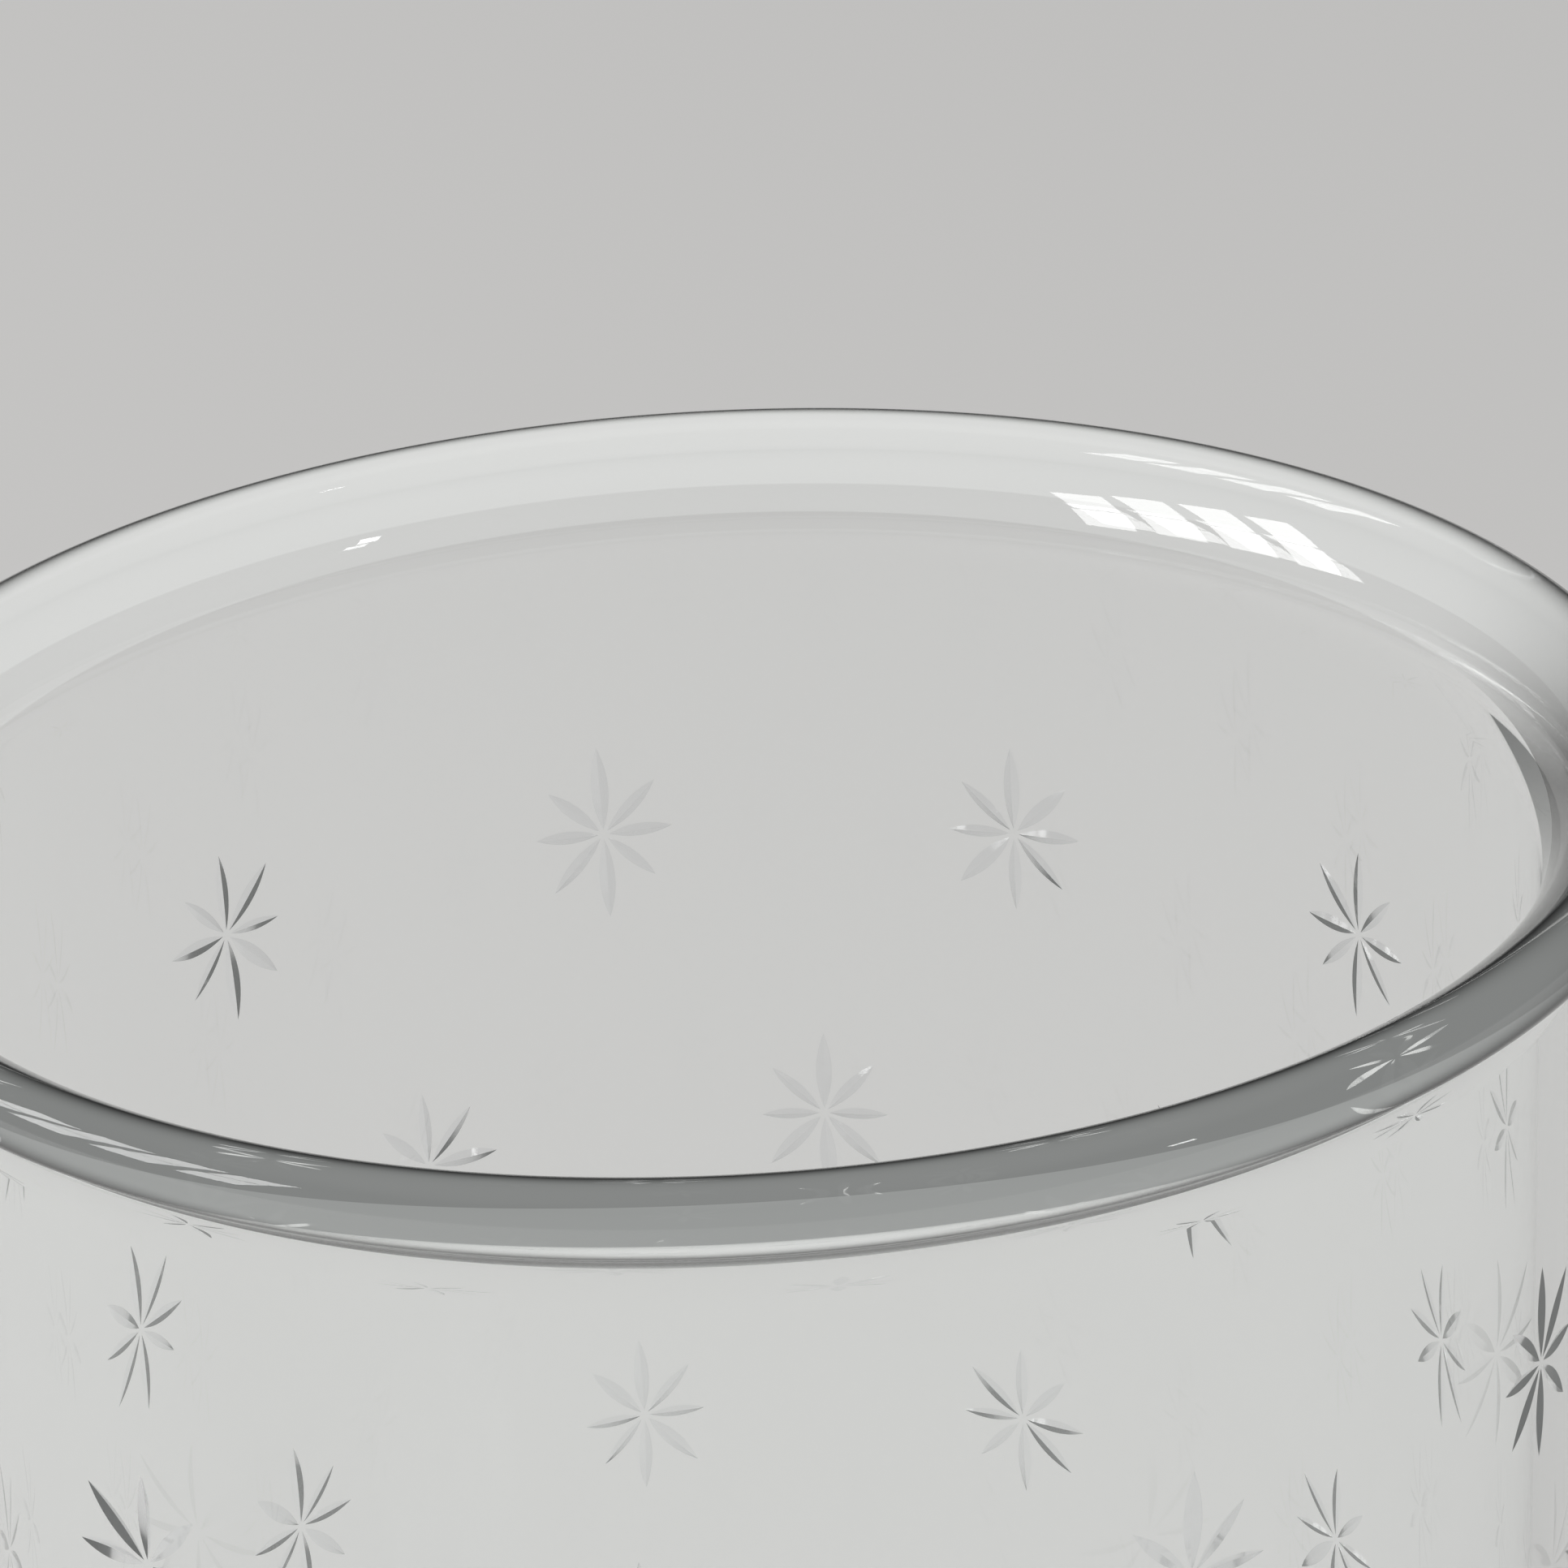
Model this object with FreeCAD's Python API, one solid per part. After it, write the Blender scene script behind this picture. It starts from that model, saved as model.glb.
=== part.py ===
import FreeCAD, Part
import math
import os

# Mixing glass for stirring drinks: one piece of clear glass.
# It is a straight cylinder with a heavy base.
# The lip turns outwards all the way round and ends in a fire-polished round edge.
# Six rows of eight-pointed stars are cut into the outside with a V-edged wheel.
# Millimetres, +Z up. The origin is the middle of the underside, on the table.

# ---- blank ----
HEIGHT = 150.0          # table to the top of the lip
RIM_R = 48.0            # outermost edge of the lip
BODY_R = 44.8           # outside of the straight wall
WALL = 3.6
FLOOR_Z = 12.0          # height of the inside floor at its middle
FLOOR_FALL = 0.6        # the inside floor is this much lower at its corner
FLOOR_ROUND = 6.0       # round between the inside floor and the wall
HEEL_ROUND = 3.0        # round of the outside bottom edge
DISH_R = 34.0           # the underside is slightly hollow inside this radius
DISH_DEPTH = 0.9
BEAD_R = 1.8            # radius of the rounded edge of the lip
LIP_TURN = 60.0         # degrees the inside turns outwards before it meets the bead
UNDER_LIP_R = 4.0       # hollow round under the lip

# ---- cut stars ----
STARS_ROUND = 11        # stars in one row
ROWS = 6
ROW_1_DROP = 25.1       # from the top of the lip to the first row's centres
ROW_PITCH = 19.64       # between rows
TURN = 0.121            # radians, place of the first star
WHEEL_R = 18.0          # cutting wheel
WHEEL_HALF_ANGLE = 70.0 # half the angle of the wheel's V edge
EYE = 0.3               # uncut spot left in the middle of a star
RAY_UPRIGHT = 5.0       # ray lengths
RAY_DIAGONAL = 4.3
RAY_LEVEL = 3.9
RAY_UNEVEN = 0.4        # hand cutting makes rays longer or shorter by this much
RAY_SWAY = 2.5          # and turns them by up to this many degrees

V = FreeCAD.Vector


def uneven(n):
    """A steady value from -1 to 1 for the n-th cut."""
    x = math.sin(n * 12.9898 + 4.1) * 43758.5453
    return 2.0 * (x - math.floor(x)) - 1.0


class Outline:
    """A chain of lines and tangent arcs in the XZ plane. X is the radius."""

    def __init__(self, r, z):
        self.r = r
        self.z = z
        self.edges = []

    def line_to(self, r, z):
        self.edges.append(Part.makeLine(V(self.r, 0, self.z), V(r, 0, z)))
        self.r = r
        self.z = z

    def arc_to(self, rm, zm, r, z):
        arc = Part.Arc(V(self.r, 0, self.z), V(rm, 0, zm), V(r, 0, z))
        self.edges.append(arc.toShape())
        self.r = r
        self.z = z

    def bend(self, radius, start, end):
        """Arc that starts and ends at these headings, in degrees; 0 points outwards, 90 up."""
        side = math.copysign(1.0, end - start)
        a0 = math.radians(start)
        cr = self.r - side * radius * math.sin(a0)
        cz = self.z + side * radius * math.cos(a0)
        pts = []
        for angle in (0.5 * (start + end), end):
            a = math.radians(angle)
            pts.append(cr + side * radius * math.sin(a))
            pts.append(cz - side * radius * math.cos(a))
        self.arc_to(*pts)


def cap_middle(radius, rise):
    """Point half way along a ball-shaped cap's outline, from its crown on the axis."""
    ball = (radius * radius + rise * rise) / (2.0 * abs(rise))
    a = math.asin(radius / ball) / 2.0
    return ball * math.sin(a), math.copysign(ball * (1.0 - math.cos(a)), rise)


def make_blank():
    """The glass before the stars are cut: one outline turned about Z."""
    bead_r = RIM_R - BEAD_R
    bead_z = HEIGHT - BEAD_R
    # the round under the lip touches the wall and the bead
    across = bead_r - BODY_R - UNDER_LIP_R
    reach = UNDER_LIP_R + BEAD_R
    drop = math.sqrt(reach * reach - across * across)
    under_turn = math.degrees(math.acos(-across / reach))
    # the inside bend ends on the bead
    a = math.radians(LIP_TURN)
    swing = bead_r - BEAD_R * math.cos(a) - (BODY_R - WALL)
    inside_r = swing / (1.0 - math.cos(a))

    o = Outline(0.0, DISH_DEPTH)
    rm, zm = cap_middle(DISH_R, -DISH_DEPTH)
    o.arc_to(rm, DISH_DEPTH + zm, DISH_R, 0.0)
    o.line_to(BODY_R - HEEL_ROUND, 0.0)
    o.bend(HEEL_ROUND, 0.0, 90.0)
    o.line_to(BODY_R, bead_z - drop)
    o.bend(UNDER_LIP_R, 90.0, 90.0 - under_turn)
    o.bend(BEAD_R, 90.0 - under_turn, 270.0 - LIP_TURN)
    o.bend(inside_r, 270.0 - LIP_TURN, 270.0)
    o.line_to(BODY_R - WALL, FLOOR_Z - FLOOR_FALL + FLOOR_ROUND)
    o.bend(FLOOR_ROUND, 270.0, 180.0)
    rm, zm = cap_middle(o.r, -FLOOR_FALL)
    o.arc_to(rm, FLOOR_Z + zm, 0.0, FLOOR_Z)
    o.line_to(0.0, DISH_DEPTH)
    face = Part.Face(Part.Wire(o.edges))
    return face.revolve(V(0, 0, 0), V(0, 0, 1), 360.0)


def ray_tool(turn, z, tilt, length, skin):
    """What the wheel removes for one ray of the star centred at turn and z."""
    along = EYE + length / 2.0
    a = turn + along * math.cos(tilt) / BODY_R
    mid_z = z + along * math.sin(tilt)
    # the wall curves away under a level ray, so the wheel goes deeper for the same length
    curve = 1.0 / WHEEL_R + math.cos(tilt) ** 2 / BODY_R
    depth = (length / 2.0) ** 2 * curve / 2.0
    height = depth + 0.5
    half_width = height * math.tan(math.radians(WHEEL_HALF_ANGLE))
    reach = math.degrees(math.asin(length * 0.62 / WHEEL_R))
    # the wheel stands in the XZ plane and its axis is Y
    edge = V(0, 0, -WHEEL_R)
    left = V(0, -half_width, height - WHEEL_R)
    right = V(0, half_width, height - WHEEL_R)
    section = Part.Face(Part.makePolygon([edge, left, right, edge]))
    section.rotate(V(0, 0, 0), V(0, 1, 0), -reach)
    tool = section.revolve(V(0, 0, 0), V(0, 1, 0), 2.0 * reach)
    tool.translate(V(0, 0, BODY_R + WHEEL_R - depth))
    tool.rotate(V(0, 0, 0), V(0, 0, 1), math.degrees(tilt))
    # X goes round the glass, Y goes up it and Z points out of it
    out = V(math.cos(a), math.sin(a), 0)
    place = FreeCAD.Matrix(-out.y, 0, out.x, 0, out.x, 0, out.y, 0, 0, 1, 0, mid_z, 0, 0, 0, 1)
    return tool.transformed(place).common(skin)


def make_cuts():
    """Every ray of every star, as separate pieces of glass to take away."""
    lengths = (RAY_LEVEL, RAY_DIAGONAL, RAY_UPRIGHT, RAY_DIAGONAL)
    skin = Part.makeCylinder(BODY_R + 0.02, HEIGHT)
    step = 2.0 * math.pi / STARS_ROUND
    cuts = []
    for row in range(ROWS):
        z = HEIGHT - ROW_1_DROP - row * ROW_PITCH
        # each row stands half a star's distance round from the one above
        first = math.pi / 2.0 - TURN - step * 0.5 * ((row + 1) % 2)
        for i in range(STARS_ROUND):
            turn = first - i * step
            for k in range(8):
                n = len(cuts)
                length = lengths[k % 4] + RAY_UNEVEN * uneven(n)
                tilt = k * math.pi / 4.0 + math.radians(RAY_SWAY * uneven(n + 1000))
                cuts.append(ray_tool(turn, z, tilt, length, skin))
    return cuts


glass_vessel = make_blank().cut(Part.makeCompound(make_cuts())).Solids[0]

os.makedirs("parts", exist_ok=True)
glass_vessel.exportStep("parts/glass_vessel.step")
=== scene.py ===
import bpy
import math
from mathutils import Matrix, Vector
from mathutils.geometry import delaunay_2d_cdt


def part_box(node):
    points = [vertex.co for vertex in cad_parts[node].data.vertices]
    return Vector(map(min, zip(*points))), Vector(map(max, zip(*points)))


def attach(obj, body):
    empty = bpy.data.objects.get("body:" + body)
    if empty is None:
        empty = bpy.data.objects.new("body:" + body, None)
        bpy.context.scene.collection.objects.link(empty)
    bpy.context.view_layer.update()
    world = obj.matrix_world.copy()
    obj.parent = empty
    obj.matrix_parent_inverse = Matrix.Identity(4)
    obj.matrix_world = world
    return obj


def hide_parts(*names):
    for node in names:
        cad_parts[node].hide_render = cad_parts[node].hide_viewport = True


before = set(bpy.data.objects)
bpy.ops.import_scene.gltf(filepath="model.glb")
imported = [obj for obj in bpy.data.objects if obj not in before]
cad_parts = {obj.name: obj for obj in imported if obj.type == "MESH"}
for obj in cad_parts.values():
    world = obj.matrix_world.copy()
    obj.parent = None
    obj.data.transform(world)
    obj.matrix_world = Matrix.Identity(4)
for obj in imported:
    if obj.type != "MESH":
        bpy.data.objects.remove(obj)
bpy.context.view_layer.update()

# A mixing glass: one piece of clear glass with a turned-out lip, a heavy base and rows of cut stars.
# Sizes are in metres and repeat those of the CAD part; the box of the CAD part sets the scale.
MM = 0.001
low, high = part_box("glass_vessel")
HEIGHT = high[2] - low[2]
RIM_R = min(high[0] - low[0], high[1] - low[1]) / 2
BODY_R = 44.8 * MM
WALL = 3.6 * MM
FLOOR_Z = 12.0 * MM
FLOOR_FALL = 0.6 * MM
FLOOR_ROUND = 6.0 * MM
HEEL_ROUND = 3.0 * MM
DISH_R = 34.0 * MM
DISH_DEPTH = 0.9 * MM
BEAD_R = 1.8 * MM
LIP_TURN = 60.0
UNDER_LIP_R = 4.0 * MM

STARS_ROUND = 11
ROWS = 6
ROW_1_DROP = 25.1 * MM
ROW_PITCH = 19.64 * MM
TURN = 0.121
WHEEL_R = 18.0 * MM
WHEEL_HALF_ANGLE = math.radians(70.0)
EYE = 0.3 * MM
RAY_UPRIGHT = 5.0 * MM
RAY_DIAGONAL = 4.3 * MM
RAY_LEVEL = 3.9 * MM
RAY_UNEVEN = 0.4 * MM
RAY_SWAY = math.radians(2.5)

SIDES = 528             # steps round the glass: 24 for each half star pitch
CELL_COLS = 24          # a star's window in the wall is this many steps wide
CELL_ROWS = 12
CELL_H = 12.6 * MM
RING_GAP = 1.2 * MM     # between rings of the wall, outside the windows
LEAF_STEPS = 14         # along one ray of a star
FILL_GAP = 0.75 * MM    # between the extra points round a star
FILL_EDGE = 0.3 * MM    # extra points keep this far from a window's edge and a ray's ends
FILL_SIDE = 0.22 * MM   # this far from a ray's sides
FILL_HUB = 0.25 * MM    # and this far from a star's middle
BALL_STEPS = 24         # from the axis to the edge of a shallow ball-shaped cap
LIP_DEPTH = 4.6 * MM    # the lip's own copy of the glass, with painted edge shade and a stronger glow, starts this far below its top
CLEAR, CUT, LIP = range(3)


def uneven(n):
    """A steady value from -1 to 1 for the n-th cut."""
    x = math.sin(n * 12.9898 + 4.1) * 43758.5453
    return 2.0 * (x - math.floor(x)) - 1.0


# ---- the outline: points with their outward normals ----
class Outline:
    def __init__(self, r, z):
        self.r, self.z = r, z
        self.pts = []           # (r, z, normal r, normal z)

    def add(self, r, z, nr, nz):
        self.pts.append((r, z, nr, nz))
        self.r, self.z = r, z

    def line_to(self, r, z, n):
        dr, dz = r - self.r, z - self.z
        d = math.hypot(dr, dz)
        nr, nz = dz / d, -dr / d
        r0, z0 = self.r, self.z
        for i in range(n + 1):
            t = i / n
            self.add(r0 + dr * t, z0 + dz * t, nr, nz)

    def bend(self, radius, start, end, n):
        """Arc from one heading to another, in degrees; 0 points outwards, 90 up."""
        side = math.copysign(1.0, end - start)
        a0 = math.radians(start)
        cr = self.r - side * radius * math.sin(a0)
        cz = self.z + side * radius * math.cos(a0)
        for i in range(n + 1):
            a = math.radians(start + (end - start) * i / n)
            nr, nz = math.sin(a), -math.cos(a)
            self.add(cr + side * radius * nr, cz + side * radius * nz, nr, nz)


def outline():
    """The underside and heel, then the lip, inside and floor, and the height where the lip starts."""
    bead_r, bead_z = RIM_R - BEAD_R, HEIGHT - BEAD_R
    across = bead_r - BODY_R - UNDER_LIP_R
    reach = UNDER_LIP_R + BEAD_R
    wall_top = bead_z - math.sqrt(reach * reach - across * across)
    under = math.degrees(math.acos(-across / reach))
    a = math.radians(LIP_TURN)
    swing = bead_r - BEAD_R * math.cos(a) - (BODY_R - WALL)
    inside_r = swing / (1 - math.cos(a))
    foot = Outline(0.0, DISH_DEPTH)
    ball = (DISH_R ** 2 + DISH_DEPTH ** 2) / (2 * DISH_DEPTH)
    for i in range(BALL_STEPS + 1):
        a = math.asin(DISH_R / ball) * i / BALL_STEPS
        foot.add(ball * math.sin(a), DISH_DEPTH - ball * (1 - math.cos(a)), -math.sin(a), -math.cos(a))
    foot.line_to(BODY_R - HEEL_ROUND, 0.0, 4)
    foot.bend(HEEL_ROUND, 0.0, 90.0, 20)
    top = Outline(BODY_R, wall_top)
    top.bend(UNDER_LIP_R, 90.0, 90.0 - under, 36)
    top.bend(BEAD_R, 90.0 - under, 270.0 - LIP_TURN, 64)
    top.bend(inside_r, 270.0 - LIP_TURN, 270.0, 36)
    top.line_to(BODY_R - WALL, FLOOR_Z - FLOOR_FALL + FLOOR_ROUND, 60)
    top.bend(FLOOR_ROUND, 270, 180, 24)
    r_end = top.r
    ball = (r_end ** 2 + FLOOR_FALL ** 2) / (2 * FLOOR_FALL)
    for i in range(BALL_STEPS, -1, -1):
        a = math.asin(r_end / ball) * i / BALL_STEPS
        top.add(ball * math.sin(a), FLOOR_Z - ball * (1 - math.cos(a)), math.sin(a), math.cos(a))
    return foot.pts, top.pts, wall_top


verts, faces, norms, kinds = [], [], [], []


def turn_dir(j):
    a = 2 * math.pi * j / SIDES
    return math.cos(a), math.sin(a)


def add_ring(r, z):
    base = len(verts)
    for j in range(SIDES):
        c, s = turn_dir(j)
        verts.append((r * c, r * s, z))
    return base


def add_face(ids, normals, kind=CLEAR):
    faces.append(ids)
    norms.append(normals)
    kinds.append(kind)


def ring_normal(j, nr, nz):
    c, s = turn_dir(j)
    return (nr * c, nr * s, nz)


def lathe(pts, first=None):
    """Join rings through the points and return the last; the first may be a ring that exists already."""
    base, prev = None, None
    for i, (r, z, nr, nz) in enumerate(pts):
        if prev is not None and math.hypot(r - prev[0], z - prev[1]) < 1e-9:
            prev = (r, z, nr, nz)
            continue
        if i == 0 and first is not None:
            ring = first
        elif r < 1e-9:
            # a single point on the axis is kept as a negative number
            ring = -1 - len(verts)
            verts.append((0.0, 0.0, z))
        else:
            ring = add_ring(r, z)
        if prev is not None:
            a, b = base, ring
            n0, n1 = (prev[2], prev[3]), (nr, nz)
            kind = LIP if min(z, prev[1]) > HEIGHT - LIP_DEPTH else CLEAR
            for j in range(SIDES):
                k = (j + 1) % SIDES
                on_a = (ring_normal(j, *n0), ring_normal(k, *n0))
                on_b = (ring_normal(k, *n1), ring_normal(j, *n1))
                if a < 0:
                    add_face((-1 - a, b + k, b + j), ((0, 0, n0[1]), *on_b), kind)
                elif b < 0:
                    add_face((a + j, a + k, -1 - b), (*on_a, (0, 0, n1[1])), kind)
                else:
                    add_face((a + j, a + k, b + k, b + j), (*on_a, *on_b), kind)
        base, prev = ring, (r, z, nr, nz)
    return base


# ---- the stars ----
def star_rays(first_cut):
    """Each ray's tilt, middle, half length, depth and curve. The wheel sinks deepest at the middle."""
    rays = []
    lengths = (RAY_LEVEL, RAY_DIAGONAL, RAY_UPRIGHT, RAY_DIAGONAL)
    for k in range(8):
        length = lengths[k % 4] + RAY_UNEVEN * uneven(first_cut + k)
        tilt = k * math.pi / 4 + RAY_SWAY * uneven(first_cut + k + 1000)
        curve = 1 / WHEEL_R + math.cos(tilt) ** 2 / BODY_R
        depth = (length / 2) ** 2 * curve / 2
        rays.append((tilt, EYE + length / 2, length / 2, depth, curve))
    return rays


def wall_point(a, z, depth):
    return ((BODY_R - depth) * math.cos(a), (BODY_R - depth) * math.sin(a), z)


def star_patch(centre_a, centre_z, rays, border):
    """Fill a star's window in the wall. border is a list of (vertex id, u, v) going round."""
    pts = [Vector((u, v)) for _, u, v in border]
    ids = [i for i, _, _ in border]
    nb = len(pts)
    edges = [(i, (i + 1) % nb) for i in range(nb)]
    depths = [0.0] * nb
    ridge_t = math.tan(WHEEL_HALF_ANGLE)
    for tilt, mid, half, depth, curve in rays:
        ct, st = math.cos(tilt), math.sin(tilt)
        rows = {}
        for side in (-1, 0, 1):
            chain = []
            for i in range(LEAF_STEPS + 1):
                s = -half + 2 * half * i / LEAF_STEPS
                d = max(depth - s * s * curve / 2, 0.0)
                if i in (0, LEAF_STEPS):
                    if side != -1:
                        chain.append(rows[-1][0 if i == 0 else -1])
                        continue
                    d = 0.0
                t = side * d * ridge_t
                u = (mid + s) * ct - t * st
                v = (mid + s) * st + t * ct
                pts.append(Vector((u, v)))
                depths.append(d if side == 0 else 0.0)
                chain.append(len(pts) - 1)
            rows[side] = chain
            edges += [(chain[i], chain[i + 1]) for i in range(LEAF_STEPS)]
    # extra points keep the triangles round the star small
    w = CELL_COLS / 2 * 2 * math.pi / SIDES * BODY_R
    h = CELL_H / 2
    nx, ny = int(2 * w / FILL_GAP), int(2 * h / FILL_GAP)
    for ix in range(1, nx):
        for iy in range(1, ny):
            u = -w + 2 * w * (ix + 0.25 * (iy % 2)) / nx
            v = -h + 2 * h * iy / ny
            if abs(u) > w - FILL_EDGE or abs(v) > h - FILL_EDGE:
                continue
            if math.hypot(u, v) < FILL_HUB:
                continue
            near = False
            for tilt, mid, half, depth, curve in rays:
                s = u * math.cos(tilt) + v * math.sin(tilt) - mid
                t = -u * math.sin(tilt) + v * math.cos(tilt)
                d = max(depth - s * s * curve / 2, 0.0) * ridge_t
                if abs(s) < half + FILL_EDGE and abs(t) < d + FILL_SIDE:
                    near = True
                    break
            if not near:
                pts.append(Vector((u, v)))
                depths.append(0.0)
    ov, _, of, orig, _, _ = delaunay_2d_cdt(pts, edges, [], 0, 1e-8)
    gid = []
    for i, p in enumerate(ov):
        src = orig[i][0] if orig[i] else None
        if src is not None and src < nb:
            gid.append(ids[src])
            continue
        d = depths[src] if src is not None else 0.0
        verts.append(wall_point(centre_a + p.x / BODY_R, centre_z + p.y, d))
        gid.append(len(verts) - 1)
    for f in of:
        cx = sum(ov[i].x for i in f) / len(f)
        cy = sum(ov[i].y for i in f) / len(f)
        hit = None
        for tilt, mid, half, depth, curve in rays:
            s = cx * math.cos(tilt) + cy * math.sin(tilt) - mid
            t = -cx * math.sin(tilt) + cy * math.cos(tilt)
            if abs(s) < half and abs(t) < (depth - s * s * curve / 2) * ridge_t:
                hit = (tilt, mid, curve, math.copysign(1.0, t))
        ns = []
        for i in f:
            a = centre_a + ov[i].x / BODY_R
            out_v = Vector((math.cos(a), math.sin(a), 0))
            if hit is None:
                ns.append(tuple(out_v))
                continue
            tilt, mid, curve, sg = hit
            s = ov[i].x * math.cos(tilt) + ov[i].y * math.sin(tilt) - mid
            around = Vector((-math.sin(a), math.cos(a), 0))
            up = Vector((0, 0, 1))
            along = around * math.cos(tilt) + up * math.sin(tilt)
            across = -around * math.sin(tilt) + up * math.cos(tilt)
            n = out_v - along * (s * curve) - across * (sg / ridge_t)
            ns.append(tuple(n.normalized()))
        add_face(tuple(gid[i] for i in f), tuple(ns), CLEAR if hit is None else CUT)


def outer_wall(bottom_ring, z_bottom, top_z):
    """Rings up the outside with windows that the stars fill. Returns the top ring."""
    step_a = 2 * math.pi / SIDES
    levels = [z_bottom]
    bands = []
    for row in reversed(range(ROWS)):
        zc = HEIGHT - ROW_1_DROP - row * ROW_PITCH
        z0 = zc - CELL_H / 2
        n = max(1, round((z0 - levels[-1]) / RING_GAP))
        start = levels[-1]
        levels += [start + (z0 - start) * (i + 1) / n for i in range(n)]
        bands.append((row, zc, len(levels) - 1))
        levels += [z0 + CELL_H * (i + 1) / CELL_ROWS for i in range(CELL_ROWS)]
    n = max(1, round((top_z - levels[-1]) / RING_GAP))
    start = levels[-1]
    levels += [start + (top_z - start) * (i + 1) / n for i in range(n)]
    # which quads are windows, and which grid vertices are inside one
    holes, inner = set(), set()
    cells = []
    pitch = SIDES // STARS_ROUND
    for row, zc, lv in bands:
        for i in range(STARS_ROUND):
            # first star of the row, counted in steps clockwise from +Y
            centre = round(SIDES / 4 - i * pitch - (pitch / 2 if row % 2 == 0 else 0))
            cells.append((row, i, centre, zc, lv))
            for c in range(-CELL_COLS // 2, CELL_COLS // 2):
                for r in range(CELL_ROWS):
                    holes.add((lv + r, (centre + c) % SIDES))
            for c in range(-CELL_COLS // 2 + 1, CELL_COLS // 2):
                for r in range(1, CELL_ROWS):
                    inner.add((lv + r, (centre + c) % SIDES))
    grid = {}
    for lv, z in enumerate(levels):
        for j in range(SIDES):
            if lv == 0:
                grid[lv, j] = bottom_ring + j
            elif (lv, j) not in inner:
                c, s = turn_dir(j)
                verts.append((BODY_R * c, BODY_R * s, z))
                grid[lv, j] = len(verts) - 1
    for lv in range(len(levels) - 1):
        for j in range(SIDES):
            if (lv, j) in holes:
                continue
            k = (j + 1) % SIDES
            nj, nk = ring_normal(j, 1, 0), ring_normal(k, 1, 0)
            add_face((grid[lv, j], grid[lv, k], grid[lv + 1, k], grid[lv + 1, j]), (nj, nk, nk, nj))
    for row, i, centre, zc, lv in cells:
        hc = CELL_COLS // 2
        walk = [(lv, c) for c in range(-hc, hc)]
        walk += [(lv + r, hc) for r in range(CELL_ROWS)]
        walk += [(lv + CELL_ROWS, c) for c in range(hc, -hc, -1)]
        walk += [(lv + r, -hc) for r in range(CELL_ROWS, 0, -1)]
        border = [(grid[l, (centre + c) % SIDES], c * step_a * BODY_R, levels[l] - zc) for l, c in walk]
        star_patch(centre * step_a, zc, star_rays((row * STARS_ROUND + i) * 8), border)
    # the top level's vertices are one whole ring, made last in step order
    return grid[len(levels) - 1, 0]


foot_pts, top_pts, wall_top = outline()
bottom = lathe(foot_pts)
ring = outer_wall(bottom, HEEL_ROUND, wall_top)
lathe(top_pts, first=ring)

mesh = bpy.data.meshes.new("mixing_glass")
mesh.from_pydata(verts, [], faces)
turn = Matrix.Rotation(-TURN, 4, "Z")
mesh.transform(turn)
for p in mesh.polygons:
    p.use_smooth = True
flat = []
for face_norms in norms:
    for n in face_norms:
        flat.append(tuple(turn @ Vector(n)))
mesh.normals_split_custom_set(flat)
glass = bpy.data.objects.new("mixing_glass", mesh)
bpy.context.scene.collection.objects.link(glass)


def glass_material(name, roughness, glow, colour):
    """Glass. The faint glow stands for light led along inside the wall, which would else render black."""
    m = bpy.data.materials.new(name)
    m.use_nodes = True
    b = m.node_tree.nodes["Principled BSDF"]
    b.inputs["Base Color"].default_value = colour
    b.inputs["Transmission Weight"].default_value = 1.0
    b.inputs["IOR"].default_value = 1.52
    b.inputs["Roughness"].default_value = roughness
    b.inputs["Emission Color"].default_value = (0.97, 1.0, 0.98, 1)
    b.inputs["Emission Strength"].default_value = glow
    return m


def painted_edge_shade(m, start, end, dark):
    """Painted shade: glass seen edge-on looks darker, so its base colour fades to dark and its glow to
    black as the facing value goes from start to end.
    """
    nt = m.node_tree
    b = nt.nodes["Principled BSDF"]
    facing = nt.nodes.new("ShaderNodeLayerWeight")
    facing.inputs["Blend"].default_value = 0.5
    ramp = nt.nodes.new("ShaderNodeMapRange")
    ramp.interpolation_type = "SMOOTHSTEP"
    ramp.inputs["From Min"].default_value = start
    ramp.inputs["From Max"].default_value = end
    nt.links.new(facing.outputs["Facing"], ramp.inputs["Value"])
    for socket, edge_shade_colour in (("Base Color", dark), ("Emission Color", (0, 0, 0, 1))):
        mix = nt.nodes.new("ShaderNodeMix")
        mix.data_type = "RGBA"
        mix.inputs["A"].default_value = b.inputs[socket].default_value
        mix.inputs["B"].default_value = edge_shade_colour
        nt.links.new(ramp.outputs[0], mix.inputs["Factor"])
        nt.links.new(mix.outputs["Result"], b.inputs[socket])


# in the order CLEAR, CUT, LIP
mesh.materials.append(glass_material("clear_glass", 0.0, 0.02, (0.985, 0.992, 0.988, 1)))
mesh.materials.append(glass_material("cut_glass", 0.08, 0.03, (0.86, 0.87, 0.88, 1)))
# the lip is the same clear glass; its copy glows more and gets painted shade on its edge-on faces
mesh.materials.append(glass_material("lip_glass_painted_edge_shade", 0.0, 0.12, (0.89, 0.897, 0.895, 1)))
# painted shade on the lip's edge-on faces, standing in for the dim room seen in the rim
painted_edge_shade(mesh.materials[LIP], 0.35, 0.75, (0.03, 0.03, 0.03, 1))
mesh.polygons.foreach_set("material_index", kinds)
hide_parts("glass_vessel")
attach(glass, "root")

# ---- floor ----
FLOOR_HALF = 6.0
FLOOR_DROP = 0.2 * MM   # a hair below the foot, so that the two faces don't share a plane


def table_material():
    m = bpy.data.materials.new("floor")
    m.use_nodes = True
    b = m.node_tree.nodes["Principled BSDF"]
    b.inputs["Base Color"].default_value = (0.72, 0.715, 0.705, 1)
    b.inputs["Roughness"].default_value = 0.9
    b.inputs["Emission Color"].default_value = (1, 0.99, 0.975, 1)
    b.inputs["Emission Strength"].default_value = 0.31
    return m


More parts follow.
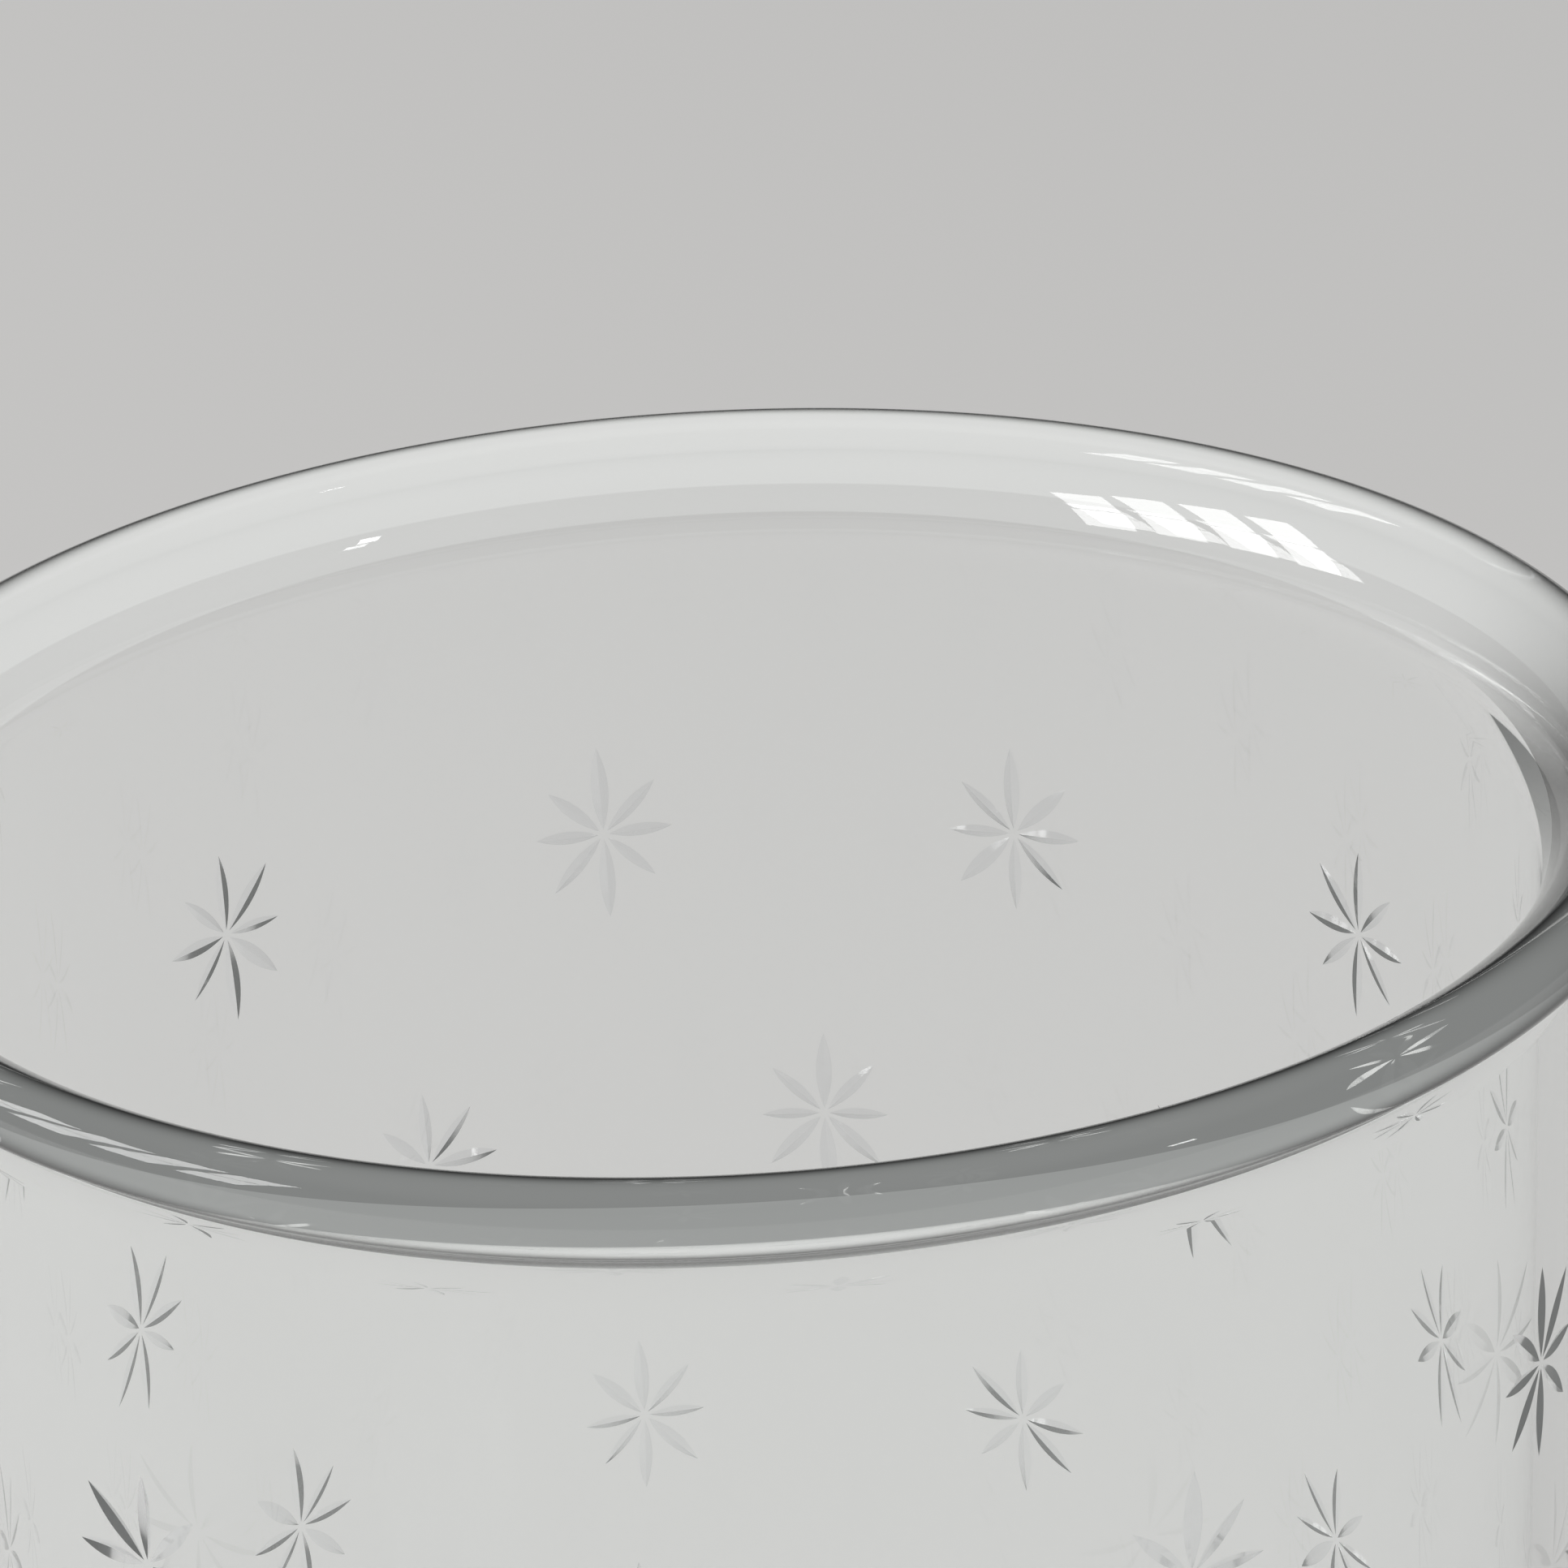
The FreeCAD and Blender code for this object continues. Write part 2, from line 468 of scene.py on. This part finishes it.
floor_mesh = bpy.data.meshes.new("floor")
corners = [(x * FLOOR_HALF, y * FLOOR_HALF, 0) for x, y in ((-1, -1), (1, -1), (1, 1), (-1, 1))]
floor_mesh.from_pydata(corners, [], [(0, 1, 2, 3)])
floor_mesh.materials.append(table_material())
floor = bpy.data.objects.new("floor", floor_mesh)
floor.location.z = -FLOOR_DROP
bpy.context.scene.collection.objects.link(floor)

# ---- light ----
world = bpy.data.worlds.new("studio")
bpy.context.scene.world = world
world.use_nodes = True
nt = world.node_tree
bg = nt.nodes["Background"]
bg.inputs["Color"].default_value = (1, 1, 1, 1)
tc = nt.nodes.new("ShaderNodeTexCoord")
sep = nt.nodes.new("ShaderNodeSeparateXYZ")
nt.links.new(tc.outputs["Generated"], sep.inputs[0])


def step(socket, start, end, low_value, high_value):
    """A smooth step from one value to another as the socket goes from start to end."""
    m = nt.nodes.new("ShaderNodeMapRange")
    m.interpolation_type = "SMOOTHSTEP"
    m.inputs["From Min"].default_value = start
    m.inputs["From Max"].default_value = end
    m.inputs["To Min"].default_value = low_value
    m.inputs["To Max"].default_value = high_value
    nt.links.new(socket, m.inputs["Value"])
    return m.outputs[0]


def added(a, b):
    m = nt.nodes.new("ShaderNodeMath")
    nt.links.new(a, m.inputs[0])
    nt.links.new(b, m.inputs[1])
    return m.outputs[0]


# a dim room over a bright table: dark above the horizon, lighter towards the ceiling
walls = step(sep.outputs["Z"], -0.05, 0.05, 0.5, 0.03)
ceiling = step(sep.outputs["Z"], 0.7, 1.0, 0.0, 0.35)
nt.links.new(added(walls, ceiling), bg.inputs["Strength"])


def softbox(name, at, target, size, power):
    light = bpy.data.lights.new(name, "AREA")
    light.shape = "RECTANGLE"
    light.size, light.size_y = size
    light.energy = power
    ob = bpy.data.objects.new(name, light)
    at = Vector(at)
    ob.location = at
    ob.rotation_euler = (Vector(target) - at).to_track_quat("-Z", "Y").to_euler()
    bpy.context.scene.collection.objects.link(ob)


# a window, two panes high and four wide, stands to the left
WINDOW = Vector((-2.25, -0.4, 1.6))
PANE = (0.36, 0.5)
PANE_PITCH = (0.5, 0.62)
PANE_WATTS = 4.0
window_turn = math.atan2(WINDOW.x, -WINDOW.y)
for col in range(4):
    for row in range(2):
        across = (col - 1.5) * PANE_PITCH[0]
        rise = (row - 0.5) * PANE_PITCH[1]
        at = WINDOW + Vector((math.cos(window_turn) * across, math.sin(window_turn) * across, rise))
        softbox("pane_%d_%d" % (col, row), at, (0, 0, HEIGHT), PANE, PANE_WATTS)
softbox("lamp", (1.6, -1.2, 1.4), (0, 0, HEIGHT), (0.12, 0.12), 0.6)

# ---- camera ----
ELEVATION = 0.4212      # radians above the plane of the lip
DISTANCE = 5.7206       # from the middle of the lip, in lip radii
PAN = -0.0116           # small turns away from the middle of the lip, in radians
TILT = -0.0092
ROLL = 0.0545
SENSOR_MM = 36.0
LENS_MM = 125.0120


def turned(axis, angle, *vectors):
    spin = Matrix.Rotation(angle, 3, axis)
    return [spin @ v for v in vectors]


lip_middle = Vector((0, 0, HEIGHT))
back_off = Vector((0, -math.cos(ELEVATION), math.sin(ELEVATION)))
eye = lip_middle + DISTANCE * RIM_R * back_off
ahead = -back_off
right = Vector((1, 0, 0))
above = right.cross(ahead)
ahead, right = turned(above, PAN, ahead, right)
ahead, above = turned(right, TILT, ahead, above)
right, above = turned(ahead, ROLL, right, above)
cam = bpy.data.cameras.new("camera")
cam.sensor_width = SENSOR_MM
cam.lens = LENS_MM
cam.clip_start = 0.01
cam_ob = bpy.data.objects.new("camera", cam)
cam_ob.matrix_world = Matrix.LocRotScale(eye, Matrix((right, above, -ahead)).transposed(), None)
bpy.context.scene.collection.objects.link(cam_ob)
bpy.context.scene.camera = cam_ob
bpy.context.scene.view_settings.view_transform = "Standard"
